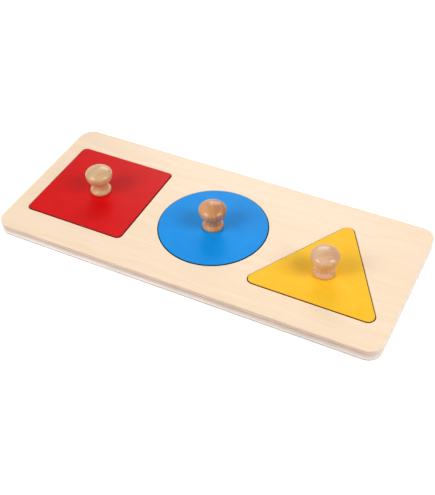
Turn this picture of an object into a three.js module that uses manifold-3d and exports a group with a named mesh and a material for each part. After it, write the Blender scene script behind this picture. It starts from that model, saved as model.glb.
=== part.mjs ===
// Wooden shape puzzle: a plywood board with a square, a round and a triangular recess,
// and three painted insets that lift out of it by turned knobs.
// Millimetres, +Z up. The origin is the centre of the board's underside, +X runs along the board
// from the square to the triangle, and +Y points to the long edge that the triangle points at.

import * as THREE from 'three';
import { mergeVertices } from 'three/addons/utils/BufferGeometryUtils.js';
import Module from 'manifold-3d';

const wasm = await Module();
wasm.setup();

// Insets. The square's side, the disc's diameter and the triangle's height are the same size.
const INSET_SIZE = 79.5;
const SQUARE_CORNER_RADIUS = 3.6;
const TRIANGLE_CORNER_RADIUS = 5;
const INSET_FACE_EASE = 0.5;
const INSET_BACK_EASE = 0.4;

// How far the painted faces stand above the frame
const INSET_STAND = 0.45;

// Board
const FRAME_THICKNESS = 6.5;
const BACKING_THICKNESS = 3;
const BOARD_CORNER_RADIUS = 10;
const BOARD_TOP_EASE = 0.5;
const BOARD_BOTTOM_EASE = 0.6;
const OPENING_EASE = 0.4;

// Wood left between the openings and around them
const WEB_WIDTH = 14.3;
const END_MARGIN = 11.7;
const SIDE_MARGIN = 22.2;

// Knob, from its foot up
const FOOT_RADIUS = 7.8;
const FOOT_HEIGHT = 2.6;
const FOOT_EASE = 1;
const NECK_RADIUS = 5.4;
const COVE_HEIGHT = 5;
const HEAD_RADIUS = 10;
const HEAD_RISE = 8.4;
const DOME_HEIGHT = 4.7;

// How long the turned curves follow their end directions, as shares of each curve's own height or radius
const COVE_HOLD = 0.5;
const HEAD_HOLD = 0.5;
const DOME_SIDE_HOLD = 0.56;
const DOME_TOP_HOLD = 0.52;

// How the head leaves the crease at the neck, as shares of its overhang and of its rise
const UNDERSIDE_FLARE = 0.45;
const UNDERSIDE_RISE = 0.14;

// The triangle's knob stands this far from the centroid, towards the apex.
const TRIANGLE_KNOB_RISE = 1.7;

// Countersunk wood screw with a right-angled cone, driven up through the inset into the knob
const SCREW_LENGTH = 16;
const SCREW_RADIUS = 1.75;
const SCREW_POINT_LENGTH = 3.2;
const SCREW_HEAD_OVERHANG = 1.65;
const SCREW_HEAD_RIM = 0.4;
const SCREW_HEAD_SINK = 0.5;

// Cross-shaped driver recess in the screw head
const RECESS_SPAN = 3.6;
const RECESS_SLOT_WIDTH = 0.9;
const RECESS_DEPTH = 1.4;
const RECESS_FLOOR_SHARE = 0.55;

// Clearances
const FIT_GAP = 0.5;
const SCREW_PLAY = 0.2;
const PILOT_TIP_ROOM = 0.6;
const CUT_OVERRUN = 1;

// Smoothness of round stretches, in straight steps
const EASE_STEPS = 3;
const CORNER_STEPS = 4;
const CIRCLE_STEPS = 36;
const CURVE_STEPS = 6;
const KNOB_SEGMENTS = 32;
const SCREW_SEGMENTS = 24;

// Points closer than this are one point.
const WELD_DISTANCE = 1e-5;

// Finishes
const BARE_FACE = { color: 0xfbe4c7, roughness: 0.55, metalness: 0 };
const BARE_BACK = { color: 0xefd9b8, roughness: 0.6, metalness: 0 };
const RED_PAINT = { color: 0xd22329, roughness: 0.4, metalness: 0 };
const BLUE_PAINT = { color: 0x2d91e6, roughness: 0.4, metalness: 0 };
const YELLOW_PAINT = { color: 0xffc43a, roughness: 0.4, metalness: 0 };
const PALE_KNOB = { color: 0xd8b48c, roughness: 0.35, metalness: 0 };
const TAN_KNOB = { color: 0xcd9160, roughness: 0.35, metalness: 0 };
const ROSY_KNOB = { color: 0xe0b088, roughness: 0.35, metalness: 0 };
const ZINC = { color: 0xb9bcc0, roughness: 0.35, metalness: 1 };

// Sizes that follow from those above
const cos30 = Math.cos(Math.PI / 6);
const insetThickness = FRAME_THICKNESS + INSET_STAND;
const openingSize = INSET_SIZE + 2 * FIT_GAP;
const triangleOpeningCorner = TRIANGLE_CORNER_RADIUS + FIT_GAP;
const triangleOpeningSide = sharpTriangleSide(openingSize, triangleOpeningCorner);
const triangleOpeningReach = triangleOpeningSide / 2 - triangleOpeningCorner * (Math.sqrt(3) - 1);
const squareToCircle = openingSize + WEB_WIDTH;
const circleToTriangle = triangleOpeningSide / 2 + (openingSize / 4 + WEB_WIDTH) / cos30;
const openingsLength = openingSize / 2 + squareToCircle + circleToTriangle + triangleOpeningReach;
const boardLength = openingsLength + 2 * END_MARGIN;
const boardWidth = openingSize + 2 * SIDE_MARGIN;
const squareX = -boardLength / 2 + END_MARGIN + openingSize / 2;
const circleX = squareX + squareToCircle;
const triangleX = circleX + circleToTriangle;
const triangleCentroidY = (INSET_SIZE + TRIANGLE_CORNER_RADIUS) / 3 - INSET_SIZE / 2;
const triangleKnobY = triangleCentroidY + TRIANGLE_KNOB_RISE;
const screwHeadRadius = SCREW_RADIUS + SCREW_HEAD_OVERHANG;
const screwHoleRadius = SCREW_RADIUS + SCREW_PLAY;
const pilotDepth = SCREW_HEAD_SINK + SCREW_LENGTH - insetThickness + PILOT_TIP_ROOM;

// Side of the sharp equilateral triangle whose corners, once rounded, leave the given height
function sharpTriangleSide(height, cornerRadius) {
  return (height + cornerRadius) / cos30;
}

// Outlines. Each returns a function of growth, which is how far the outline moves out, parallel to itself.

function rectangleOutline(length, width, cornerRadius) {
  return (growth) => {
    const radius = cornerRadius + growth;
    const x = length / 2 - cornerRadius;
    const y = width / 2 - cornerRadius;
    const shape = new THREE.Shape();
    shape.absarc(x, y, radius, 0, 0.5 * Math.PI);
    shape.absarc(-x, y, radius, 0.5 * Math.PI, Math.PI);
    shape.absarc(-x, -y, radius, Math.PI, 1.5 * Math.PI);
    shape.absarc(x, -y, radius, 1.5 * Math.PI, 2 * Math.PI);
    return shape.getPoints(CORNER_STEPS);
  };
}

function circleOutline(diameter) {
  return (growth) => {
    const shape = new THREE.Shape();
    shape.absarc(0, 0, diameter / 2 + growth, 0, 2 * Math.PI);
    const points = shape.getPoints(CIRCLE_STEPS);
    points.pop();
    return points;
  };
}

// Equilateral, flat side towards -Y, centred on the middle of its height
function triangleOutline(height, cornerRadius) {
  return (growth) => {
    const radius = cornerRadius + growth;
    const baseX = sharpTriangleSide(height, cornerRadius) / 2 - cornerRadius * Math.sqrt(3);
    const baseY = cornerRadius - height / 2;
    const apexY = height / 2 - cornerRadius;
    const start = -Math.PI / 2;
    const third = 2 * Math.PI / 3;
    const shape = new THREE.Shape();
    shape.absarc(baseX, baseY, radius, start, start + third);
    shape.absarc(0, apexY, radius, start + third, start + 2 * third);
    shape.absarc(-baseX, baseY, radius, start + 2 * third, start + 3 * third);
    return shape.getPoints(CORNER_STEPS);
  };
}

// The opening for an inset is the inset's own outline, moved out by the fit gap.
function openingFor(insetOutline) {
  return (growth) => insetOutline(growth + FIT_GAP);
}

// A closed skin over stacked rings of equal point counts, lowest first, each { points, z }
function skin(rings) {
  const positions = [];
  const indices = [];
  const count = rings[0].points.length;
  for (const { points, z } of rings) {
    for (const point of points) positions.push(point.x, point.y, z);
  }
  for (let level = 0; level < rings.length - 1; level += 1) {
    for (let i = 0; i < count; i += 1) {
      const a = level * count + i;
      const b = level * count + (i + 1) % count;
      indices.push(a, b, b + count, a, b + count, a + count);
    }
  }
  const top = (rings.length - 1) * count;
  for (const [a, b, c] of THREE.ShapeUtils.triangulateShape(rings[0].points, [])) {
    indices.push(a, c, b);
  }
  for (const [a, b, c] of THREE.ShapeUtils.triangulateShape(rings.at(-1).points, [])) {
    indices.push(top + a, top + b, top + c);
  }
  const geometry = new THREE.BufferGeometry();
  geometry.setAttribute('position', new THREE.Float32BufferAttribute(positions, 3));
  geometry.setIndex(indices);
  geometry.computeVertexNormals();
  return geometry;
}

// A rounded-over edge in steps from the wall to the face: how far in from the wall, and from the face
function roundOver(radius) {
  if (radius === 0) return [{ fromWall: 0, fromFace: 0 }];
  const steps = [];
  for (let step = 0; step <= EASE_STEPS; step += 1) {
    const angle = step / EASE_STEPS * Math.PI / 2;
    steps.push({ fromWall: radius * (1 - Math.cos(angle)), fromFace: radius * (1 - Math.sin(angle)) });
  }
  return steps;
}

// A plate of the given outline, standing on z = 0, with its bottom and top edges rounded over
function easedPlate(outline, thickness, bottomEase, topEase) {
  const rings = [];
  for (const { fromWall, fromFace } of roundOver(bottomEase).reverse()) {
    rings.push({ points: outline(-fromWall), z: fromFace });
  }
  for (const { fromWall, fromFace } of roundOver(topEase)) {
    rings.push({ points: outline(-fromWall), z: thickness - fromFace });
  }
  return skin(rings);
}

// What a through opening takes out of a plate, with a rounded-over mouth at the plate's top
function openingCut(outline, thickness, mouthEase) {
  const rings = [{ points: outline(0), z: -CUT_OVERRUN }];
  for (const { fromWall, fromFace } of roundOver(mouthEase)) {
    rings.push({ points: outline(fromWall), z: thickness - fromFace });
  }
  rings.push({ points: outline(mouthEase), z: thickness + CUT_OVERRUN });
  return skin(rings);
}

// A turned solid about Z, from a profile of radius and height that starts and ends on the axis
function turned(profile, segments) {
  return new THREE.LatheGeometry(profile.getPoints(CURVE_STEPS), segments).rotateX(Math.PI / 2);
}

function toSolid(geometry) {
  const bare = geometry.clone();
  bare.deleteAttribute('normal');
  bare.deleteAttribute('uv');
  const merged = mergeVertices(bare, WELD_DISTANCE);
  const vertProperties = merged.getAttribute('position').array;
  const triVerts = Uint32Array.from(merged.getIndex().array);
  return new wasm.Manifold(new wasm.Mesh({ numProp: 3, vertProperties, triVerts }));
}

// The first geometry with the others cut out of it
function cutAway(body, cutters) {
  let solid = toSolid(body);
  for (const cutter of cutters) solid = solid.subtract(toSolid(cutter));
  const mesh = solid.getMesh();
  const geometry = new THREE.BufferGeometry();
  geometry.setAttribute('position', new THREE.BufferAttribute(mesh.vertProperties, 3));
  geometry.setIndex(new THREE.BufferAttribute(mesh.triVerts, 1));
  geometry.computeVertexNormals();
  return geometry;
}

const boardOutline = rectangleOutline(boardLength, boardWidth, BOARD_CORNER_RADIUS);
const squareOutline = rectangleOutline(INSET_SIZE, INSET_SIZE, SQUARE_CORNER_RADIUS);
const discOutline = circleOutline(INSET_SIZE);
const trigonOutline = triangleOutline(INSET_SIZE, TRIANGLE_CORNER_RADIUS);

function backingBoard() {
  return easedPlate(boardOutline, BACKING_THICKNESS, BOARD_BOTTOM_EASE, 0);
}

function frameBoard() {
  const panel = easedPlate(boardOutline, FRAME_THICKNESS, 0, BOARD_TOP_EASE);
  const squareCut = openingCut(openingFor(squareOutline), FRAME_THICKNESS, OPENING_EASE);
  const discCut = openingCut(openingFor(discOutline), FRAME_THICKNESS, OPENING_EASE);
  const trigonCut = openingCut(openingFor(trigonOutline), FRAME_THICKNESS, OPENING_EASE);
  return cutAway(panel, [
    squareCut.translate(squareX, 0, 0),
    discCut.translate(circleX, 0, 0),
    trigonCut.translate(triangleX, 0, 0),
  ]);
}

// Clearance hole for the screw, opening into a countersink at the inset's underside
function screwHole() {
  const mouthRadius = screwHeadRadius + SCREW_PLAY;
  const coneStart = SCREW_HEAD_SINK + SCREW_HEAD_RIM;
  const coneEnd = coneStart + SCREW_HEAD_OVERHANG;
  const profile = new THREE.Path();
  profile.moveTo(0, -CUT_OVERRUN);
  profile.lineTo(mouthRadius, -CUT_OVERRUN);
  profile.lineTo(mouthRadius, coneStart);
  profile.lineTo(screwHoleRadius, coneEnd);
  profile.lineTo(screwHoleRadius, insetThickness + CUT_OVERRUN);
  profile.lineTo(0, insetThickness + CUT_OVERRUN);
  return turned(profile, SCREW_SEGMENTS);
}

function inset(outline, knobY) {
  const plate = easedPlate(outline, insetThickness, INSET_BACK_EASE, INSET_FACE_EASE);
  return cutAway(plate, [screwHole().translate(0, knobY, 0)]);
}

// One turned profile: the pilot hole from its end down, then the foot, the cove, a crease at the neck
// and the mushroom head
function knob() {
  const footEase = Math.min(FOOT_EASE, FOOT_HEIGHT / 2);
  const footFlat = FOOT_RADIUS - footEase;
  const coveTop = FOOT_HEIGHT + COVE_HEIGHT;
  const widest = coveTop + HEAD_RISE;
  const top = widest + DOME_HEIGHT;
  const coveHold = FOOT_HEIGHT + COVE_HOLD * COVE_HEIGHT;
  const flareRadius = NECK_RADIUS + UNDERSIDE_FLARE * (HEAD_RADIUS - NECK_RADIUS);
  const flareHeight = coveTop + UNDERSIDE_RISE * HEAD_RISE;
  const headHold = widest - HEAD_HOLD * HEAD_RISE;
  const domeHold = widest + DOME_SIDE_HOLD * DOME_HEIGHT;
  const profile = new THREE.Path();
  profile.moveTo(0, pilotDepth);
  profile.lineTo(screwHoleRadius, pilotDepth);
  profile.lineTo(screwHoleRadius, 0);
  profile.lineTo(footFlat, 0);
  profile.quadraticCurveTo(FOOT_RADIUS, 0, FOOT_RADIUS, footEase);
  profile.lineTo(FOOT_RADIUS, FOOT_HEIGHT - footEase);
  profile.quadraticCurveTo(FOOT_RADIUS, FOOT_HEIGHT, footFlat, FOOT_HEIGHT);
  profile.bezierCurveTo(NECK_RADIUS, FOOT_HEIGHT, NECK_RADIUS, coveHold, NECK_RADIUS, coveTop);
  profile.bezierCurveTo(flareRadius, flareHeight, HEAD_RADIUS, headHold, HEAD_RADIUS, widest);
  profile.bezierCurveTo(HEAD_RADIUS, domeHold, DOME_TOP_HOLD * HEAD_RADIUS, top, 0, top);
  return turned(profile, KNOB_SEGMENTS);
}

// Outline of the driver's cross, as four equal arms
function crossPoints(span, slotWidth) {
  const points = [];
  const centre = new THREE.Vector2();
  for (let arm = 0; arm < 4; arm += 1) {
    const turn = arm * Math.PI / 2;
    points.push(new THREE.Vector2(span / 2, -slotWidth / 2).rotateAround(centre, turn));
    points.push(new THREE.Vector2(span / 2, slotWidth / 2).rotateAround(centre, turn));
    points.push(new THREE.Vector2(slotWidth / 2, slotWidth / 2).rotateAround(centre, turn));
  }
  return points;
}

// What the driver recess takes out of the head: a cross that narrows from the face inwards
function recessCut() {
  const mouth = crossPoints(RECESS_SPAN, RECESS_SLOT_WIDTH);
  const floor = crossPoints(RECESS_FLOOR_SHARE * RECESS_SPAN, RECESS_FLOOR_SHARE * RECESS_SLOT_WIDTH);
  return skin([
    { points: mouth, z: -CUT_OVERRUN },
    { points: mouth, z: 0 },
    { points: floor, z: RECESS_DEPTH },
  ]);
}

// Head at the bottom, point at the top, length measured over all
function screw() {
  const profile = new THREE.Path();
  profile.moveTo(0, 0);
  profile.lineTo(screwHeadRadius, 0);
  profile.lineTo(screwHeadRadius, SCREW_HEAD_RIM);
  profile.lineTo(SCREW_RADIUS, SCREW_HEAD_RIM + SCREW_HEAD_OVERHANG);
  profile.lineTo(SCREW_RADIUS, SCREW_LENGTH - SCREW_POINT_LENGTH);
  profile.lineTo(0, SCREW_LENGTH);
  return cutAway(turned(profile, SCREW_SEGMENTS), [recessCut()]);
}

function part(name, geometry, finish) {
  const mesh = new THREE.Mesh(geometry, new THREE.MeshStandardMaterial(finish));
  mesh.name = name;
  return mesh;
}

// An inset with its knob and screw, in a group that stands on the backing
function liftOutPiece(name, outline, paint, knobFinish, x, knobY) {
  const plate = part(`${name}_inset`, inset(outline, knobY), paint);
  const handle = part(`${name}_knob`, knob(), knobFinish);
  handle.position.set(0, knobY, insetThickness);
  const fastener = part(`${name}_knob_screw`, screw(), ZINC);
  fastener.position.set(0, knobY, SCREW_HEAD_SINK);
  const piece = new THREE.Group();
  piece.add(plate, handle, fastener);
  piece.position.set(x, 0, BACKING_THICKNESS);
  return piece;
}

const puzzle = new THREE.Group();
const frame = part('frame_board', frameBoard(), BARE_FACE);
frame.position.z = BACKING_THICKNESS;
puzzle.add(part('backing_board', backingBoard(), BARE_BACK), frame);
puzzle.add(liftOutPiece('square', squareOutline, RED_PAINT, PALE_KNOB, squareX, 0));
puzzle.add(liftOutPiece('circle', discOutline, BLUE_PAINT, TAN_KNOB, circleX, 0));
puzzle.add(liftOutPiece('triangle', trigonOutline, YELLOW_PAINT, ROSY_KNOB, triangleX, triangleKnobY));

export default puzzle;
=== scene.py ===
"""Looks of the wooden shape puzzle: fine meshes and procedural finishes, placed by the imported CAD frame.

Shapes are in metres, in the frame of the CAD part: +X from the square to the triangle, +Z up.
Places inside a finish and values whose names end in MM are in millimetres. Colours are linear.
"""

import math

import bpy
from mathutils import Matrix, Vector
from mathutils.geometry import tessellate_polygon


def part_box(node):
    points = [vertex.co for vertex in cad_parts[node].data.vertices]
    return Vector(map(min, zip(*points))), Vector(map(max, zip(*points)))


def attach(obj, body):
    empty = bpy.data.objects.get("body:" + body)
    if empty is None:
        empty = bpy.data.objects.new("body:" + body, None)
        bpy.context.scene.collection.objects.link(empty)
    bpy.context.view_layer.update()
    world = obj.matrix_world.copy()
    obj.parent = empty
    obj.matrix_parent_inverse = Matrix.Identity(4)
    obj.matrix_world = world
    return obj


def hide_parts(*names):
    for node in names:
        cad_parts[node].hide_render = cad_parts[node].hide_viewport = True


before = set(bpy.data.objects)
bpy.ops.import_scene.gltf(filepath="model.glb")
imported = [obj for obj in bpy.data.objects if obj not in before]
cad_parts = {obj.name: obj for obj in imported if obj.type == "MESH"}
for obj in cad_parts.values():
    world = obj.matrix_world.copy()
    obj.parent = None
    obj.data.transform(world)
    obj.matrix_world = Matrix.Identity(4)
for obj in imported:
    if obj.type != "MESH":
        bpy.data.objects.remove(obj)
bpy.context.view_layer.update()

MM = 0.001
FULL_TURN = 2 * math.pi
QUARTER_TURN = math.pi / 2
UP = Vector((0, 0, 1))
DOWN = Vector((0, 0, -1))
# Blender works out the normal of a corner whose own normal has no length.
KEEP_AUTO = Vector((0, 0, 0))

# The photograph's view
IMAGE_LONG_SIDE_PX = 495
FOCAL_LENGTH_PX = 901.5
SENSOR_MM = 36.0
CAMERA_TARGET = Vector((12.64, -18.22, 9.5)) * MM
CAMERA_DISTANCE = 633.3 * MM
CAMERA_AZIMUTH = math.radians(27.93)
CAMERA_ELEVATION = math.radians(43.67)
CAMERA_ROLL = math.radians(-1.92)
CAMERA_CLIP_START = 0.01

# Sizes of the board and insets that their nodes' boxes don't give
FIT_GAP = 0.5 * MM
BOARD_CORNER = 10.0 * MM
SQUARE_CORNER = 3.6 * MM
TRIANGLE_CORNER = 5.0 * MM
BOARD_TOP_EASE = 0.5 * MM
BOARD_BOTTOM_EASE = 0.6 * MM
GLUE_LINE_EASE = 0.08 * MM
OPENING_EASE = 0.4 * MM
INSET_FACE_EASE = 0.5 * MM
INSET_BACK_EASE = 0.4 * MM

# Sizes of the knobs, from the foot up
FOOT_RADIUS = 7.8 * MM
FOOT_HEIGHT = 2.6 * MM
FOOT_EASE = 1.0 * MM
NECK_RADIUS = 5.4 * MM
COVE_HEIGHT = 5.0 * MM
HEAD_RISE = 8.4 * MM

# Fullness of the knobs' curves: where control points lie, as shares of the stretch that they shape
COVE_HOLD = 0.5
UNDERSIDE_FLARE = 0.45
UNDERSIDE_RISE = 0.14
HEAD_HOLD = 0.5
DOME_SIDE_HOLD = 0.56
DOME_TOP_HOLD = 0.52

# Sizes of the screws and their holes
SCREW_RADIUS = 1.75 * MM
SCREW_HEAD_RIM = 0.4 * MM
SCREW_PLAY = 0.2 * MM
SCREW_POINT = 3.2 * MM
PILOT_TIP_ROOM = 0.6 * MM
RECESS_SPAN = 3.6 * MM
RECESS_SLOT = 0.9 * MM
RECESS_DEPTH = 1.4 * MM
RECESS_FLOOR_SHARE = 0.55
RECESS_CORNER_SHARE = 0.6

# Thread of the screws; crest and flank are shares of the pitch
THREAD_PITCH = 1.3 * MM
THREAD_HEIGHT = 0.5 * MM
THREAD_CREST = 0.5
THREAD_FLANK = 0.3
THREAD_STEPS = 6
PLAIN_SHANK = 1.6 * MM

# Smoothness, in steps
EASE_STEPS = 6
CORNER_STEPS = 14
TRIANGLE_STEPS = 18
CIRCLE_STEPS = 180
CURVE_STEPS = 16
KNOB_SEGMENTS = 96
SCREW_SEGMENTS = 32


# Outlines: lists of points in the plan, each with its outward direction

def arc(x, y, radius, start, sweep, steps):
    points = []
    for step in range(steps + 1):
        angle = start + sweep * step / steps
        out = Vector((math.cos(angle), math.sin(angle)))
        points.append((Vector((x, y)) + radius * out, out))
    return points


def rectangle_outline(low, high, corner):
    """A function of growth, which is how far the outline moves out."""
    right = high.x - corner
    left = low.x + corner
    back = high.y - corner
    front = low.y + corner
    centres = ((right, back), (left, back), (left, front), (right, front))

    def outline(growth):
        points = []
        for quarter, (x, y) in enumerate(centres):
            points += arc(x, y, corner + growth, quarter * QUARTER_TURN, QUARTER_TURN, CORNER_STEPS)
        return points
    return outline


def circle_outline(low, high):
    centre = (low + high) / 2

    def outline(growth):
        radius = (high.x - low.x) / 2 + growth
        return arc(centre.x, centre.y, radius, 0, FULL_TURN, CIRCLE_STEPS)[:-1]
    return outline


def triangle_outline(low, high, corner):
    """Flat side towards -Y, apex towards +Y."""
    middle = (low.x + high.x) / 2
    centres = (
        (high.x - corner, low.y + corner),
        (middle, high.y - corner),
        (low.x + corner, low.y + corner),
    )
    third = FULL_TURN / 3

    def outline(growth):
        points = []
        for index, (x, y) in enumerate(centres):
            points += arc(x, y, corner + growth, index * third - QUARTER_TURN, third, TRIANGLE_STEPS)
        return points
    return outline


def grown(outline, distance):
    return lambda growth: outline(growth + distance)


def about(centre, radius, angle, z):
    """A point at a radius and an angle about a vertical axis."""
    return Vector((centre.x + radius * math.cos(angle), centre.y + radius * math.sin(angle), z))


# Meshes

class Skin:
    """A mesh in the making, with the exact normal of every face corner."""

    def __init__(self):
        self.points = []
        self.faces = []
        self.normals = []

    def ring(self, points):
        first = len(self.points)
        self.points += points
        return list(range(first, len(self.points)))

    def face(self, corners, normals):
        self.faces.append(corners)
        self.normals += normals

    def strip(self, lower, upper, lower_normals, upper_normals):
        """Faces between two closed rings, each of many points or of one."""
        count = max(len(lower), len(upper))
        for i in range(count):
            j = (i + 1) % count
            if len(lower) == 1:
                corners = (lower[0], upper[j], upper[i])
                normals = [lower_normals[0], upper_normals[j], upper_normals[i]]
            elif len(upper) == 1:
                corners = (lower[i], lower[j], upper[0])
                normals = [lower_normals[i], lower_normals[j], upper_normals[0]]
            else:
                corners = (lower[i], lower[j], upper[j], upper[i])
                normals = [lower_normals[i], lower_normals[j], upper_normals[j], upper_normals[i]]
            self.face(corners, normals)

    def cap(self, rings, normal):
        """A flat face inside the first ring and outside the others."""
        corners = [index for ring in rings for index in ring]
        loops = [[self.points[index] for index in ring] for ring in rings]
        for triangle in tessellate_polygon(loops):
            a, b, c = (corners[index] for index in triangle)
            facing = (self.points[b] - self.points[a]).cross(self.points[c] - self.points[a])
            order = (a, b, c) if facing.dot(normal) > 0 else (a, c, b)
            self.face(order, [normal] * 3)

    def wall(self, outline, levels, hole=False):
        """Strips over an outline at (growth, z, tilt) levels, lowest first. Tilt is the angle by which the
        normal rises. A hole's wall faces inwards. Returns the lowest and highest rings."""
        first = None
        last = None
        last_normals = None
        side = -1 if hole else 1
        for growth, z, tilt in levels:
            plan = outline(growth)[::side]
            ring = self.ring([Vector((point.x, point.y, z)) for point, _ in plan])
            level = math.cos(tilt) * side
            normals = [Vector((out.x * level, out.y * level, math.sin(tilt))) for _, out in plan]
            if last is None:
                first = ring
            else:
                self.strip(last, ring, last_normals, normals)
            last = ring
            last_normals = normals
        return first, last

    def turn(self, centre, runs, segments):
        """Turns a profile about a vertical axis. Each run is a list of (radius, z, normal's radius and z),
        smooth within itself, and starts where the one before it ended. Returns the first and last rings."""
        turns = [FULL_TURN * i / segments for i in range(segments)]
        first = None
        last = None
        for run in runs:
            last_normals = None
            for index, (radius, z, out, rise) in enumerate(run):
                angles = turns if radius > 0 else [0]
                normals = [
                    Vector((out * math.cos(angle), out * math.sin(angle), rise)).normalized()
                    for angle in angles
                ]
                if index > 0 or last is None:
                    ring = self.ring([about(centre, radius, angle, z) for angle in angles])
                    if last_normals is not None:
                        self.strip(last, ring, last_normals, normals)
                    last = ring
                    first = first or ring
                last_normals = normals
        return first, last

    def finished(self, name):
        mesh = bpy.data.meshes.new(name)
        mesh.from_pydata(self.points, [], self.faces)
        mesh.polygons.foreach_set("use_smooth", [True] * len(mesh.polygons))
        mesh.normals_split_custom_set(self.normals)
        mesh.update()
        piece = bpy.data.objects.new(name, mesh)
        bpy.context.scene.collection.objects.link(piece)
        return piece


def ease_levels(ease):
    """A rounded-over edge from the wall to the face: (from the wall, from the face, normal's tilt)."""
    levels = []
    for step in range(EASE_STEPS + 1):
        tilt = QUARTER_TURN * step / EASE_STEPS
        levels.append((ease * (1 - math.cos(tilt)), ease * (1 - math.sin(tilt)), tilt))
    return levels


def plate_levels(bottom, top, bottom_ease, top_ease):
    """The wall of a plate with both edges rounded over, lowest first."""
    lower = [(-wall, bottom + face, -tilt) for wall, face, tilt in reversed(ease_levels(bottom_ease))]
    upper = [(-wall, top - face, tilt) for wall, face, tilt in ease_levels(top_ease)]
    return lower + upper


def mouth_levels(bottom, top, mouth_ease):
    """The wall of a through opening whose upper mouth is rounded over, lowest first."""
    upper = [(wall, top - face, tilt) for wall, face, tilt in ease_levels(mouth_ease)]
    return [(0, bottom, 0)] + upper


def line_runs(*points):
    """Straight stretches of a turned profile, each a run of its own."""
    runs = []
    for (r0, z0), (r1, z1) in zip(points, points[1:]):
        length = math.hypot(r1 - r0, z1 - z0)
        out = (z1 - z0) / length
        rise = (r0 - r1) / length
        runs.append([(r0, z0, out, rise), (r1, z1, out, rise)])
    return runs


def bezier(points, t):
    """A Bezier curve's point at t, from 0 at its first control point to 1 at its last."""
    degree = len(points) - 1
    place = Vector((0, 0))
    for k, point in enumerate(points):
        place += math.comb(degree, k) * t**k * (1 - t) ** (degree - k) * point
    return place


def curve_run(start, *curves):
    """One smooth run of Bezier curves, each given by its control points and its end."""
    run = []
    for controls in curves:
        points = [Vector(start)] + [Vector(control) for control in controls]
        differences = [after - before for before, after in zip(points, points[1:])]
        for step in range(CURVE_STEPS + 1):
            t = step / CURVE_STEPS
            place = bezier(points, t)
            along = bezier(differences, t)
            if step > 0 or not run:
                run.append((max(place.x, 0), place.y, along.y, -along.x))
        start = controls[-1]
    return run


# Node trees and materials

class Nodes:
    """A node tree in the making, with short names for the node calls that repeat."""

    def __init__(self, tree):
        self.tree = tree

    def put(self, socket, value):
        if isinstance(value, bpy.types.NodeSocket):
            self.tree.links.new(value, socket)
        else:
            socket.default_value = value

    def add(self, kind, inputs=(), **settings):
        node = self.tree.nodes.new("ShaderNode" + kind)
        for name, value in settings.items():
            setattr(node, name, value)
        for key, value in dict(inputs).items():
            self.put(node.inputs[key], value)
        return node

    def math(self, operation, *values, clamp=False):
        return self.add("Math", enumerate(values), operation=operation, use_clamp=clamp).outputs[0]

    def mixed(self, node, factor, first, second):
        for name, value in (("Factor", factor), ("A", first), ("B", second)):
            self.put(node.inputs[name], value)
        return node.outputs["Result"]

    def mix(self, factor, first, second, blend="MIX"):
        """Two colours, mixed."""
        return self.mixed(self.add("Mix", data_type="RGBA", blend_type=blend), factor, first, second)

    def blend(self, factor, first, second):
        """Two numbers, mixed."""
        return self.mixed(self.add("Mix", data_type="FLOAT"), factor, first, second)

    def multiply(self, first, second):
        """Two colours, multiplied."""
        return self.mix(1.0, first, second, "MULTIPLY")

    def shaded(self, colour, *shades):
        """A colour times one or more numbers."""
        shade = shades[0]
        for other in shades[1:]:
            shade = self.math("MULTIPLY", shade, other)
        return self.multiply(colour, self.add("CombineXYZ", {0: shade, 1: shade, 2: shade}).outputs[0])

    def darkening(self, mask, depth):
        """A shade of 1 where the mask is 0, and of 1 less the depth where it is 1."""
        return self.math("MULTIPLY_ADD", mask, -depth, 1.0)

    def steps(self, value, stops):
        """A ramp of plain steps from 0 to 1, by the (position, colour) at which each one starts."""
        node = self.add("ValToRGB", {"Fac": value})
        ramp = node.color_ramp
        ramp.interpolation = "CONSTANT"
        while len(ramp.elements) < len(stops):
            ramp.elements.new(1)
        for element, (position, colour) in zip(ramp.elements, stops):
            element.position = position
            element.color = colour
        return node

    def span(self, value, start, end, to_start=0.0, to_end=1.0, smooth=True):
        """Maps the stretch from start to end onto the one from to_start to to_end, and holds the ends."""
        kind = "SMOOTHSTEP" if smooth else "LINEAR"
        inputs = {"Value": value, "From Min": start, "From Max": end, "To Min": to_start, "To Max": to_end}
        return self.add("MapRange", inputs, interpolation_type=kind).outputs["Result"]

    def noise(self, vector, stretch, detail=2.0, roughness=0.5, offset=(0, 0, 0)):
        """Noise from about 0 to 1, with the frequency along each axis as stretch."""
        mapped = self.add("Mapping", {"Vector": vector, "Scale": stretch, "Location": offset}).outputs[0]
        inputs = {"Vector": mapped, "Scale": 1.0, "Detail": detail, "Roughness": roughness}
        return self.add("TexNoise", inputs).outputs["Fac"]

    def bump(self, height, strength, distance):
        inputs = {"Height": height, "Strength": strength, "Distance": distance}
        return self.add("Bump", inputs).outputs["Normal"]

    def parts(self, vector):
        """The x, y and z of a vector."""
        return self.add("SeparateXYZ", {0: vector}).outputs

    def length(self, vector):
        return self.add("VectorMath", {0: vector}, operation="LENGTH").outputs["Value"]

    def millimetres(self):
        """Object coordinates in millimetres."""
        metres = self.add("TexCoord").outputs["Object"]
        return self.add("VectorMath", {0: metres, "Scale": 1 / MM}, operation="SCALE").outputs[0]

    def facing(self):
        """The object's own normal."""
        return self.add("TexCoord").outputs["Normal"]

    def seen(self):
        """1 for what the camera sees, directly or in metal and glass, and 0 for what only gives light."""
        path = self.add("LightPath").outputs
        seen = path["Is Camera Ray"]
        for ray in ("Is Glossy Ray", "Is Transmission Ray"):
            seen = self.math("MAXIMUM", seen, path[ray])
        return seen


class Finish(Nodes):
    """A material in the making."""

    def __init__(self, name):
        self.material = bpy.data.materials.new(name)
        self.material.use_nodes = True
        super().__init__(self.material.node_tree)
        self.shader = self.tree.nodes["Principled BSDF"]

    def set(self, **sockets):
        for name, value in sockets.items():
            self.put(self.shader.inputs[name.replace("_", " ")], value)


# Bare plywood

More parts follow.
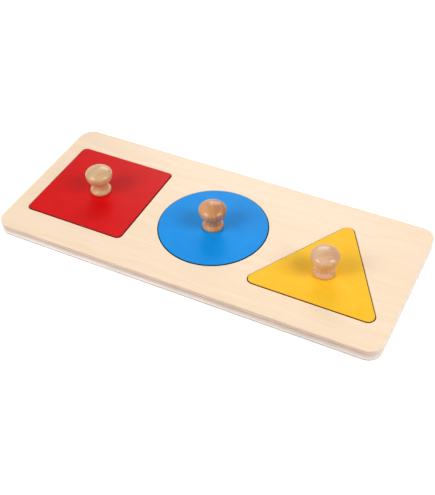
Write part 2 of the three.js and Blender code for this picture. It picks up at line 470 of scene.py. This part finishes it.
BOARD_HEIGHT_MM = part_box("frame_board")[1].z / MM
INSET_BOTTOM_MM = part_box("square_inset")[0].z / MM
FACE_TINT = (0.965, 0.755, 0.552)
# Veneers from the table up: top in millimetres, tint, and 1 if the grain runs across the board
VENEERS = (
    (0.6, (0.88, 0.79, 0.72), 0),
    (1.2, (0.79, 0.70, 0.66), 1),
    (3.0, (0.99, 0.91, 0.86), 0),
    (4.2, (0.88, 0.75, 0.68), 0),
    (5.3, (0.98, 0.82, 0.71), 1),
    (6.4, (0.66, 0.48, 0.39), 0),
    (8.4, (0.92, 0.69, 0.55), 1),
    (9.5, FACE_TINT, 0),
)
GLUE_TINT = (0.36, 0.27, 0.21)
GLUE_THICKNESS_MM = 0.16
VENEER_WAVE_MM = 0.24
FACE_DEPTH_MM = 0.3
BAND_SWAY_MM = 26.0
# Painted light: a paler tint and its share on the short ends of the board, as if more lit
PAINTED_LIGHT_END_TINT = (0.95, 0.80, 0.68, 1.0)
PAINTED_LIGHT_END_SHARE = 0.6
END_GRAIN_AT_ENDS = 0.4
END_GRAIN_DEPTH = 0.16
PORE_DEPTH = 0.09
WARM_TINT = (1.0, 0.965, 0.90, 1.0)
PLYWOOD_RELIEF = 0.6
# Browns for the walls of the openings: scorch, deepened as painted shade of the gaps round the insets
SCORCHED_AND_SHADED = (0.24, 0.13, 0.065, 1.0)
LIGHTLY_SCORCHED_AND_SHADED = (0.56, 0.36, 0.20, 1.0)
SCORCH_AND_SHADE_SHARE = 0.45
CLEAN_RIM_MM = 6.0
GRAIN_HEIGHT = 0.12 * MM


def veneer_stops():
    """Colour ramp stops over the board's height: each veneer's tint, with a glue line under the next one.
    Alpha says that the grain runs across the board."""
    stops = []
    bottom = 0.0
    for top, tint, across in VENEERS:
        stops.append((bottom / BOARD_HEIGHT_MM, (*tint, across)))
        if top < BOARD_HEIGHT_MM:
            stops.append(((top - GLUE_THICKNESS_MM) / BOARD_HEIGHT_MM, (*GLUE_TINT, across)))
        bottom = top
    return stops


def veneers(finish, place, rise):
    """Tint of the plywood by height, and 1 where its grain runs across the board."""
    z = finish.parts(place)[2]
    drift = finish.noise(place, stretch=(0.03, 0.03, 0.0), detail=1)
    lowered = finish.math("SUBTRACT", z, VENEER_WAVE_MM / 2)
    wavy = finish.math("MULTIPLY_ADD", drift, VENEER_WAVE_MM, lowered)

    # A face shows the veneer that lies just under it.
    wavy = finish.math("MULTIPLY_ADD", rise, -FACE_DEPTH_MM, wavy)
    layer = finish.steps(finish.math("DIVIDE", wavy, BOARD_HEIGHT_MM), veneer_stops()).outputs
    flat = finish.span(finish.math("ABSOLUTE", rise), start=0.80, end=0.97)
    return finish.mix(flat, layer["Color"], (*FACE_TINT, 1.0)), layer["Alpha"]


def growth_bands(finish, place):
    """Wide soft stripes along the board that wander."""
    x, y, _ = finish.parts(place)
    wander = finish.noise(place, stretch=(0.011, 0.02, 0.0))
    swayed = finish.math("MULTIPLY_ADD", wander, BAND_SWAY_MM, y)
    lane = finish.add("CombineXYZ", {0: x, 1: swayed}).outputs[0]
    return finish.noise(lane, stretch=(0.0035, 0.16, 1.0), detail=4, roughness=0.6)


def plywood_fibres(finish, place, across):
    """Fibres that run along the board in one veneer and across it in the next."""
    along_fibres = finish.noise(place, stretch=(0.035, 1.5, 4.0), detail=5, roughness=0.62)
    across_fibres = finish.noise(place, stretch=(1.5, 0.035, 4.0), detail=5, roughness=0.62)
    return finish.blend(across, along_fibres, across_fibres)


def saw_shade(finish, place, rise):
    """The shade of the streaks that the saw leaves along the edges."""
    upright = finish.span(finish.math("ABSOLUTE", rise), start=0.5, end=0.8, to_start=1.0, to_end=0.0)
    streaks = finish.noise(place, stretch=(0.07, 0.07, 1.3), detail=3, roughness=0.6)
    streaks = finish.span(streaks, start=0.35, end=0.65, to_start=-0.10, to_end=0.10, smooth=False)
    return finish.math("MULTIPLY_ADD", upright, streaks, 1.0)


def bare_plywood(finish):
    """Colour, relief and fibres of bare plywood as a solid: veneers by height, each with its own grain."""
    place = finish.millimetres()
    facing_x, facing_y, rise = finish.parts(finish.facing())
    end_wall = finish.math("ABSOLUTE", facing_x)
    long_wall = finish.math("ABSOLUTE", facing_y)
    tint, across = veneers(finish, place, rise)
    bands = growth_bands(finish, place)
    fibres = plywood_fibres(finish, place, across)
    pores = finish.span(finish.noise(place, stretch=(0.42, 5.5, 9.0), detail=1), start=0.66, end=0.78)

    # The short ends are painted paler than the long sides: painted light, as if the ends were more lit.
    tint = finish.mix(finish.math("MULTIPLY", end_wall, PAINTED_LIGHT_END_SHARE), tint, PAINTED_LIGHT_END_TINT)

    # Sawn across its fibres, a veneer is darker.
    end_grain = finish.blend(across, finish.math("MULTIPLY", end_wall, END_GRAIN_AT_ENDS), long_wall)
    colour = finish.shaded(
        tint,
        finish.darkening(end_grain, END_GRAIN_DEPTH),
        saw_shade(finish, place, rise),
        finish.span(fibres, start=0.25, end=0.75, to_start=0.93, to_end=1.045, smooth=False),
        finish.span(bands, start=0.3, end=0.7, to_start=0.965, to_end=1.02, smooth=False),
        finish.darkening(pores, PORE_DEPTH),
    )

    # Darker bands are also warmer.
    warmth = finish.span(bands, start=0.38, end=0.62, to_start=0.55, to_end=0.0)
    colour = finish.mix(warmth, colour, finish.multiply(colour, WARM_TINT))
    relief = finish.math("MULTIPLY", finish.math("SUBTRACT", fibres, pores), PLYWOOD_RELIEF)
    return colour, relief, fibres


def scorched_and_shaded(finish, colour):
    """Browns the upright walls that the saw rubbed, in uneven upright streaks. The brown is partly scorch
    and partly painted shade of the gaps round the insets.
    """
    rise = finish.parts(finish.facing())[2]
    walls = finish.span(finish.math("ABSOLUTE", rise), start=0.15, end=0.75, to_start=1.0, to_end=0.0)
    streaks = finish.noise(finish.millimetres(), stretch=(1.4, 1.4, 0.12), detail=4, roughness=0.6)
    brown = finish.mix(streaks, SCORCHED_AND_SHADED, LIGHTLY_SCORCHED_AND_SHADED)
    return finish.mix(finish.math("MULTIPLY", walls, SCORCH_AND_SHADE_SHARE), colour, brown)


def set_plywood(finish, colour, relief, fibres):
    """Satin bare wood."""
    satin = finish.span(fibres, start=0.2, end=0.8, to_start=0.30, to_end=0.42, smooth=False)
    finish.set(Base_Color=colour, Roughness=satin, Specular_IOR_Level=0.5)
    finish.set(Normal=finish.bump(relief, strength=0.25, distance=GRAIN_HEIGHT))


def frame_finish(name):
    """Bare plywood, browned on the walls of the openings by scorch and painted shade, but sanded clean round
    the outside.
    """
    finish = Finish(name)
    colour, relief, fibres = bare_plywood(finish)
    x, y, _ = finish.parts(finish.millimetres())
    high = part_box("frame_board")[1]
    past_x = finish.math("SUBTRACT", finish.math("ABSOLUTE", x), high.x / MM - CLEAN_RIM_MM)
    past_y = finish.math("SUBTRACT", finish.math("ABSOLUTE", y), high.y / MM - CLEAN_RIM_MM)
    inside = finish.math("LESS_THAN", finish.math("MAXIMUM", past_x, past_y), 0.0)
    set_plywood(finish, finish.mix(inside, colour, scorched_and_shaded(finish, colour)), relief, fibres)
    return finish.material


def backing_finish(name):
    finish = Finish(name)
    set_plywood(finish, *bare_plywood(finish))
    return finish.material


# Paint: the lighter and the deeper parts of each coat

RED = ((0.71, 0.003, 0.004, 1.0), (0.65, 0.002, 0.003, 1.0))
BLUE = ((0.003, 0.305, 0.84, 1.0), (0.002, 0.27, 0.78, 1.0))
YELLOW = ((1.0, 0.585, 0.030, 1.0), (0.98, 0.525, 0.020, 1.0))
PAINT_EDGE_MM = 1.2
PAINT_EDGE_BLUR_MM = 0.08
# End grain that drinks paint, darkened further as painted shade of the gaps round the insets
SOAKED_AND_SHADED_TINT = (0.32, 0.29, 0.28, 1.0)
WORN_SHARE = 0.35
BARE_BACK_ROUGHNESS = 0.6
PAINTED_GRAIN_RELIEF = 0.55
ORANGE_PEEL_RELIEF = 0.35


def painted_part(finish, place):
    """1 where there is paint, which ends unevenly near the foot of the sides."""
    ragged = finish.noise(place, stretch=(0.45, 0.45, 0.2), detail=3)
    paint_edge = finish.math("MULTIPLY_ADD", ragged, PAINT_EDGE_MM, INSET_BOTTOM_MM)
    over_edge = finish.math("SUBTRACT", finish.parts(place)[2], paint_edge)
    return finish.span(over_edge, start=-PAINT_EDGE_BLUR_MM, end=PAINT_EDGE_BLUR_MM)


def worn_part(finish, place, rise):
    """How much handling has worn the rounded edge of the face, here and there."""
    over_side = finish.span(rise, start=0.3, end=0.6)
    off_face = finish.span(rise, start=0.995, end=0.9)
    patches = finish.noise(place, stretch=(0.30, 0.30, 0.30), detail=4, roughness=0.7)
    rubbed = finish.span(patches, start=0.60, end=0.72)
    worn = finish.math("MULTIPLY", finish.math("MULTIPLY", over_side, off_face), rubbed)
    return finish.math("MULTIPLY", worn, WORN_SHARE)


def painted_finish(name, light, deep):
    """Satin paint over a plywood plate: full on the face, drunk in by the sawn sides and darkened there with
    painted shade of the gap round the inset, and none on the underside."""
    finish = Finish(name)
    bare, bare_relief, _ = bare_plywood(finish)
    place = finish.millimetres()
    rise = finish.parts(finish.facing())[2]
    painted = painted_part(finish, place)

    # Grain shows faintly through the paint, and the coat is uneven.
    coat = finish.noise(place, stretch=(0.05, 0.07, 0.0), detail=3, roughness=0.6)
    grain = finish.noise(place, stretch=(0.05, 1.1, 0.0), detail=5, roughness=0.65)
    colour = finish.mix(finish.span(finish.math("ADD", coat, grain), start=0.72, end=1.28), deep, light)

    # Sawn sides drink the paint, some veneers more than others, and are darkened further with painted
    #     # shade of the gap round the inset.
    sides = finish.span(rise, start=0.94, end=0.6)
    soaked_and_shaded = finish.multiply(finish.multiply(colour, bare), SOAKED_AND_SHADED_TINT)
    colour = finish.mix(sides, colour, soaked_and_shaded)
    colour = finish.mix(worn_part(finish, place, rise), colour, bare)

    satin = finish.span(grain, start=0.25, end=0.75, to_start=0.33, to_end=0.43, smooth=False)
    orange_peel = finish.math("MULTIPLY", finish.noise(place, stretch=(0.9, 0.9, 0.9)), ORANGE_PEEL_RELIEF)
    film = finish.math("MULTIPLY_ADD", grain, PAINTED_GRAIN_RELIEF, orange_peel)
    relief = finish.blend(painted, bare_relief, film)
    finish.set(Base_Color=finish.mix(painted, bare, colour), Specular_IOR_Level=0.12)
    finish.set(Roughness=finish.blend(painted, BARE_BACK_ROUGHNESS, satin))
    finish.set(Normal=finish.bump(relief, strength=0.18, distance=GRAIN_HEIGHT))
    return finish.material


# Turned wood: the pale and the dark tone of each knob

PALE_WOOD = ((0.71, 0.46, 0.24, 1.0), (0.50, 0.275, 0.125, 1.0))
TAN_WOOD = ((0.70, 0.33, 0.135, 1.0), (0.36, 0.125, 0.036, 1.0))
ROSY_WOOD = ((0.76, 0.46, 0.26, 1.0), (0.50, 0.25, 0.12, 1.0))
RING_WIDTH_MM = 2.4
RING_WOBBLE = 1.2
LATE_WOOD_TONE = 0.17
# Direction and reach of the painted shade that darkens the right and back of each knob
SHADED_SIDE = (0.85, 0.5)
SHADED_SIDE_REACH_MM = 9.0
FLECK_DEPTH = 0.16
KNOB_RELIEF = 0.5
KNOB_GRAIN_HEIGHT = 0.1 * MM


def place_in_tree(finish, x, y, z, heart):
    """Millimetres from the heart of the tree, turned so that x points away from it."""
    from_heart_x = finish.math("SUBTRACT", x, heart[0])
    from_heart_y = finish.math("SUBTRACT", y, heart[1])
    from_heart = finish.add("CombineXYZ", {0: from_heart_x, 1: from_heart_y, 2: z}).outputs[0]
    turn = {"Vector": from_heart, "Angle": -math.atan2(-heart[1], -heart[0])}
    return finish.add("VectorRotate", turn, rotation_type="Z_AXIS").outputs[0]


def late_wood(finish, place, seed):
    """The dark late wood of the rings round the heart, from 0 to 1."""
    in_plan = finish.add("VectorMath", {0: place, 1: (1, 1, 0)}, operation="MULTIPLY").outputs[0]
    wobble = finish.noise(place, stretch=(0.07, 0.07, 0.02), offset=(seed, 0, 0))
    rings_out = finish.math("DIVIDE", finish.length(in_plan), RING_WIDTH_MM)
    ring = finish.math("FRACT", finish.math("MULTIPLY_ADD", wobble, RING_WOBBLE, rings_out))
    rising = finish.span(ring, start=0.2, end=0.88)
    falling = finish.span(ring, start=1.0, end=0.9)
    return finish.math("MULTIPLY", rising, falling)


def knob_finish(name, pale, dark, axis, heart, side_shade, seed):
    """Turned wood with upright grain. Its rings run round a heart, whose x and y are millimetres from the
    knob's axis. Side shade says how much painted shade darkens the right and back of the knob."""
    finish = Finish(name)
    x, y, z = finish.parts(finish.millimetres())
    x = finish.math("SUBTRACT", x, axis.x / MM)
    y = finish.math("SUBTRACT", y, axis.y / MM)
    place = place_in_tree(finish, x, y, z, heart)
    fibres = finish.noise(place, stretch=(2.2, 2.2, 0.09), detail=3, offset=(0, seed, 0))
    streaks = finish.noise(place, stretch=(0.30, 0.06, 0.03), offset=(0, 0, seed))
    flecks = finish.noise(place, stretch=(4.2, 4.2, 0.55), detail=1, offset=(seed, seed, 0))
    flecks = finish.span(flecks, start=0.67, end=0.76)

    # Tone goes from 0 where the wood is pale to 1 where it is dark.
    # Painted shade: the right and back of the knob darker and the left and front paler, as if lit from the
    # left.
    side = finish.math("MULTIPLY_ADD", x, SHADED_SIDE[0], finish.math("MULTIPLY", y, SHADED_SIDE[1]))
    side = finish.span(side, -SHADED_SIDE_REACH_MM, SHADED_SIDE_REACH_MM, -side_shade / 2, side_shade)
    tone = finish.span(streaks, start=0.35, end=0.65, to_end=0.34)
    tone = finish.math("MULTIPLY_ADD", late_wood(finish, place, seed), LATE_WOOD_TONE, tone)
    tone = finish.math("ADD", tone, side)
    fibre_tone = finish.span(fibres, start=0.3, end=0.7, to_start=-0.07, to_end=0.12, smooth=False)
    tone = finish.math("ADD", tone, fibre_tone, clamp=True)
    colour = finish.shaded(finish.mix(tone, pale, dark), finish.darkening(flecks, FLECK_DEPTH))

    dull = finish.span(fibres, start=0.3, end=0.7, to_start=0.42, to_end=0.52, smooth=False)
    relief = finish.math("MULTIPLY", finish.math("SUBTRACT", fibres, flecks), KNOB_RELIEF)
    finish.set(Base_Color=colour, Roughness=dull, Specular_IOR_Level=0.1)
    finish.set(Coat_Weight=0.8, Coat_Roughness=0.23, Coat_IOR=1.5)
    finish.set(Normal=finish.bump(relief, strength=0.16, distance=KNOB_GRAIN_HEIGHT))
    return finish.material


# Zinc plating

COOL_ZINC = (0.56, 0.57, 0.60, 1.0)
WARM_ZINC = (0.74, 0.73, 0.70, 1.0)
SCRATCH_HEIGHT = 0.05 * MM


def zinc_finish(name):
    finish = Finish(name)
    place = finish.millimetres()
    cloud = finish.noise(place, stretch=(0.9, 0.9, 0.9), detail=4, roughness=0.65)
    scratches = finish.noise(place, stretch=(9.0, 0.8, 3.0), detail=3)
    dull = finish.span(scratches, start=0.3, end=0.7, to_start=0.24, to_end=0.40, smooth=False)
    finish.set(Metallic=1.0, Base_Color=finish.mix(cloud, COOL_ZINC, WARM_ZINC), Roughness=dull)
    finish.set(Normal=finish.bump(scratches, strength=0.1, distance=SCRATCH_HEIGHT))
    return finish.material


# The object

def fit(piece, node, body, material):
    """Gives a piece its material and its place in the frame."""
    piece.data.materials.append(material)
    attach(piece, body)
    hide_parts(node)


INSET_OUTLINES = {
    "square": rectangle_outline(*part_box("square_inset"), SQUARE_CORNER),
    "circle": circle_outline(*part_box("circle_inset")),
    "triangle": triangle_outline(*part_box("triangle_inset"), TRIANGLE_CORNER),
}


def backing_board(material):
    low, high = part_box("backing_board")
    skin = Skin()
    levels = plate_levels(low.z, high.z, BOARD_BOTTOM_EASE, GLUE_LINE_EASE)
    bottom, top = skin.wall(rectangle_outline(low, high, BOARD_CORNER), levels)
    skin.cap([bottom], DOWN)
    skin.cap([top], UP)
    fit(skin.finished("backing_panel"), "backing_board", "board", material)


def frame_board(material):
    low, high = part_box("frame_board")
    skin = Skin()
    levels = plate_levels(low.z, high.z, GLUE_LINE_EASE, BOARD_TOP_EASE)
    walls = [skin.wall(rectangle_outline(low, high, BOARD_CORNER), levels)]
    levels = mouth_levels(low.z, high.z, OPENING_EASE)
    for outline in INSET_OUTLINES.values():
        walls.append(skin.wall(grown(outline, FIT_GAP), levels, hole=True))
    skin.cap([bottom for bottom, _ in walls], DOWN)
    skin.cap([top for _, top in walls], UP)
    fit(skin.finished("frame_panel"), "frame_board", "board", material)


def knob_axis(name):
    low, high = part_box(f"{name}_knob")
    return (low + high) / 2


def screw_hole(skin, name, low, high):
    """The countersunk hole for the screw. Returns its lowest and highest rings."""
    head_low, head_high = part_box(f"{name}_knob_screw")
    head_radius = (head_high.x - head_low.x) / 2
    hole = SCREW_RADIUS + SCREW_PLAY
    mouth = head_radius + SCREW_PLAY
    cone = head_low.z + SCREW_HEAD_RIM
    cone_top = cone + head_radius - SCREW_RADIUS
    runs = line_runs((hole, high.z), (hole, cone_top), (mouth, cone), (mouth, low.z))
    top, bottom = skin.turn(knob_axis(name), runs, SCREW_SEGMENTS)
    return bottom, top


def inset(name, body, material):
    low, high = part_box(f"{name}_inset")
    skin = Skin()
    levels = plate_levels(low.z, high.z, INSET_BACK_EASE, INSET_FACE_EASE)
    bottom, top = skin.wall(INSET_OUTLINES[name], levels)
    hole_bottom, hole_top = screw_hole(skin, name, low, high)
    skin.cap([bottom, hole_bottom], DOWN)
    skin.cap([top, hole_top], UP)
    fit(skin.finished(f"{name}_plate"), f"{name}_inset", body, material)


def knob(name, body, material):
    """A pilot hole from below, a rounded foot, a cove up to the neck, and a flared head with a dome."""
    low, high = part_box(f"{name}_knob")
    screw_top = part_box(f"{name}_knob_screw")[1].z
    head_radius = (high.x - low.x) / 2
    pilot_radius = SCREW_RADIUS + SCREW_PLAY
    pilot_top = screw_top + PILOT_TIP_ROOM
    foot_flat = FOOT_RADIUS - FOOT_EASE
    foot_top = low.z + FOOT_HEIGHT
    cove_top = foot_top + COVE_HEIGHT
    cove_hold = foot_top + COVE_HOLD * COVE_HEIGHT
    flare = NECK_RADIUS + UNDERSIDE_FLARE * (head_radius - NECK_RADIUS)
    widest = cove_top + HEAD_RISE
    dome = high.z - widest
    pilot = line_runs((0, pilot_top), (pilot_radius, pilot_top), (pilot_radius, low.z), (foot_flat, low.z))
    foot = curve_run(
        (foot_flat, low.z),
        ((FOOT_RADIUS, low.z), (FOOT_RADIUS, low.z + FOOT_EASE)),
        ((FOOT_RADIUS, foot_top - FOOT_EASE),),
        ((FOOT_RADIUS, foot_top), (foot_flat, foot_top)),
        ((NECK_RADIUS, foot_top), (NECK_RADIUS, cove_hold), (NECK_RADIUS, cove_top)),
    )
    head = curve_run(
        (NECK_RADIUS, cove_top),
        (
            (flare, cove_top + UNDERSIDE_RISE * HEAD_RISE),
            (head_radius, widest - HEAD_HOLD * HEAD_RISE),
            (head_radius, widest),
        ),
        ((head_radius, widest + DOME_SIDE_HOLD * dome), (DOME_TOP_HOLD * head_radius, high.z), (0, high.z)),
    )
    skin = Skin()
    skin.turn(knob_axis(name), pilot + [foot, head], KNOB_SEGMENTS)
    fit(skin.finished(f"{name}_turned_knob"), f"{name}_knob", body, material)


def cross_points(centre, span, slot, z):
    """The outline of a cross with four arms."""
    inner = RECESS_CORNER_SHARE * slot
    points = []
    for arm in range(4):
        turn = Matrix.Rotation(arm * QUARTER_TURN, 3, "Z")
        for x, y in ((span / 2, -slot / 2), (span / 2, slot / 2), (inner, inner)):
            points.append(turn @ Vector((x, y, 0)) + Vector((centre.x, centre.y, z)))
    return points


def cross_recess(skin, centre, face, z):
    """A tapering cross recess, sunk upwards into a flat face that ends at the face's ring."""
    mouth = skin.ring(cross_points(centre, RECESS_SPAN, RECESS_SLOT, z))
    floor_span = RECESS_FLOOR_SHARE * RECESS_SPAN
    floor_slot = RECESS_FLOOR_SHARE * RECESS_SLOT
    floor = skin.ring(cross_points(centre, floor_span, floor_slot, z + RECESS_DEPTH))
    count = len(mouth)
    for i in range(count):
        j = (i + 1) % count
        edge = skin.points[mouth[i]] - skin.points[mouth[j]]
        rise = skin.points[floor[i]] - skin.points[mouth[j]]
        skin.face((mouth[j], mouth[i], floor[i], floor[j]), [edge.cross(rise).normalized()] * 4)
    skin.cap([face, mouth], DOWN)
    skin.cap([floor], DOWN)


def threaded_shank(skin, centre, start, start_ring, tip):
    """A shank with a helical ridge, from the end of the cone to the point."""
    count = math.ceil((tip - start) / THREAD_PITCH * THREAD_STEPS)
    auto = [KEEP_AUTO] * SCREW_SEGMENTS
    last = start_ring
    for step in range(1, count):
        z = start + (tip - start) * step / count
        taper = min(1.0, (tip - z) / SCREW_POINT)
        depth = THREAD_HEIGHT * min(1.0, max(0.0, (z - start - PLAIN_SHANK) / THREAD_PITCH))
        points = []
        for i in range(SCREW_SEGMENTS):
            phase = ((z - start) / THREAD_PITCH - i / SCREW_SEGMENTS) % 1.0
            ridge = max(0.0, 1 - abs(phase - THREAD_CREST) / THREAD_FLANK)
            radius = (SCREW_RADIUS - depth * (1 - ridge)) * taper
            points.append(about(centre, radius, FULL_TURN * i / SCREW_SEGMENTS, z))
        ring = skin.ring(points)
        skin.strip(last, ring, auto, auto)
        last = ring
    point = skin.ring([Vector((centre.x, centre.y, tip))])
    skin.strip(last, point, auto, [KEEP_AUTO])


def screw(name, body, material):
    low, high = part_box(f"{name}_knob_screw")
    centre = knob_axis(name)
    head_radius = (high.x - low.x) / 2
    rim = low.z + SCREW_HEAD_RIM
    cone_end = rim + head_radius - SCREW_RADIUS
    skin = Skin()
    runs = line_runs((head_radius, low.z), (head_radius, rim), (SCREW_RADIUS, cone_end))
    face, shank = skin.turn(centre, runs, SCREW_SEGMENTS)
    threaded_shank(skin, centre, cone_end, shank, high.z)
    cross_recess(skin, centre, face, low.z)
    fit(skin.finished(f"{name}_wood_screw"), f"{name}_knob_screw", body, material)


def build_object():
    backing_board(backing_finish("backing_plywood"))
    frame_board(frame_finish("frame_plywood"))

    inset("square", "square_piece", painted_finish("red_paint", *RED))
    inset("circle", "circle_piece", painted_finish("blue_paint", *BLUE))
    inset("triangle", "triangle_piece", painted_finish("yellow_paint", *YELLOW))

    pale = knob_finish(
        "pale_knob", *PALE_WOOD, knob_axis("square"), heart=(-22.0, 14.0), side_shade=0.15, seed=5.3,
    )
    tan = knob_finish(
        "tan_knob", *TAN_WOOD, knob_axis("circle"), heart=(19.0, 14.0), side_shade=0.5, seed=2.4,
    )
    rosy = knob_finish(
        "rosy_knob", *ROSY_WOOD, knob_axis("triangle"), heart=(16.0, -21.0), side_shade=0.25, seed=18.5,
    )
    knob("square", "square_piece", pale)
    knob("circle", "circle_piece", tan)
    knob("triangle", "triangle_piece", rosy)

    zinc = zinc_finish("zinc_plate")
    screw("square", "square_piece", zinc)
    screw("circle", "circle_pivot", zinc)
    screw("triangle", "triangle_piece", zinc)


# The studio

WHITE = (1, 1, 1, 1)
WORLD_LIGHT = 0.22
FLOOR_HALF = 3.0
FLOOR_DROP = 0.2 * MM
FLOOR_GREY = (0.92, 0.92, 0.92, 1.0)
FLOOR_LIFT = 0.34
FAR_FLOOR_LIFT = 0.8
FLOOR_LIFT_STARTS = 0.45
FLOOR_LIFT_ENDS = 1.6


def build_floor():
    skin = Skin()
    corners = ((-1, -1), (1, -1), (1, 1), (-1, 1))
    ring = skin.ring([Vector((x * FLOOR_HALF, y * FLOOR_HALF, -FLOOR_DROP)) for x, y in corners])
    skin.cap([ring], UP)
    floor = skin.finished("floor")
    finish = Finish("white_floor")
    finish.set(Base_Color=FLOOR_GREY, Roughness=0.8, Specular_IOR_Level=0.1)

    # The lamps reach only the middle of the floor, so its far parts are lifted more.
    reach = finish.length(finish.add("TexCoord").outputs["Object"])
    lift = finish.span(reach, FLOOR_LIFT_STARTS, FLOOR_LIFT_ENDS, FLOOR_LIFT, FAR_FLOOR_LIFT)
    finish.set(Emission_Color=WHITE, Emission_Strength=finish.math("MULTIPLY", finish.seen(), lift))
    floor.data.materials.append(finish.material)


def build_world():
    """A white background that gives the object less light than it shows."""
    world = bpy.data.worlds.new("studio")
    world.use_nodes = True
    nodes = Nodes(world.node_tree)
    background = world.node_tree.nodes["Background"]
    strength = nodes.span(nodes.seen(), 0.0, 1.0, to_start=WORLD_LIGHT, to_end=1.0, smooth=False)
    nodes.put(background.inputs["Strength"], strength)
    nodes.put(background.inputs["Color"], WHITE)
    bpy.context.scene.world = world


def direction(azimuth, elevation):
    """From the board towards a lamp or the camera. Azimuth 0 is in front, a quarter turn is to the right."""
    flat = math.cos(elevation)
    return Vector((math.sin(azimuth) * flat, -math.cos(azimuth) * flat, math.sin(elevation)))


def softbox(name, azimuth, elevation, distance, width, height, radiance):
    """A soft lamp aimed at the board's middle, with its angles in degrees."""
    lamp = bpy.data.lights.new(name, "AREA")
    lamp.shape = "RECTANGLE"
    lamp.size = width
    lamp.size_y = height
    lamp.energy = radiance * math.pi * width * height
    away = direction(math.radians(azimuth), math.radians(elevation))
    light = bpy.data.objects.new(name, lamp)
    light.location = away * distance
    light.rotation_euler = away.to_track_quat("Z", "Y").to_euler()
    bpy.context.scene.collection.objects.link(light)


def build_lights():
    softbox("left_softbox", azimuth=-38, elevation=40, distance=0.9, width=0.46, height=0.46, radiance=6.4)
    softbox("right_softbox", azimuth=87, elevation=40, distance=0.9, width=0.46, height=0.46, radiance=6.4)
    softbox("back_softbox", azimuth=200, elevation=30, distance=1.0, width=0.5, height=0.4, radiance=4.0)


def build_camera():
    camera = bpy.data.cameras.new("camera")
    camera.sensor_width = SENSOR_MM
    camera.lens = FOCAL_LENGTH_PX / IMAGE_LONG_SIDE_PX * SENSOR_MM
    camera.clip_start = CAMERA_CLIP_START
    away = direction(CAMERA_AZIMUTH, CAMERA_ELEVATION)
    aim = away.to_track_quat("Z", "Y").to_matrix().to_4x4()
    roll = Matrix.Rotation(CAMERA_ROLL, 4, "Z")
    viewer = bpy.data.objects.new("camera", camera)
    viewer.matrix_world = Matrix.Translation(CAMERA_TARGET + away * CAMERA_DISTANCE) @ aim @ roll
    bpy.context.scene.collection.objects.link(viewer)
    bpy.context.scene.camera = viewer


bpy.context.scene.view_settings.view_transform = "Standard"
build_camera()
build_lights()
build_world()
build_floor()
build_object()
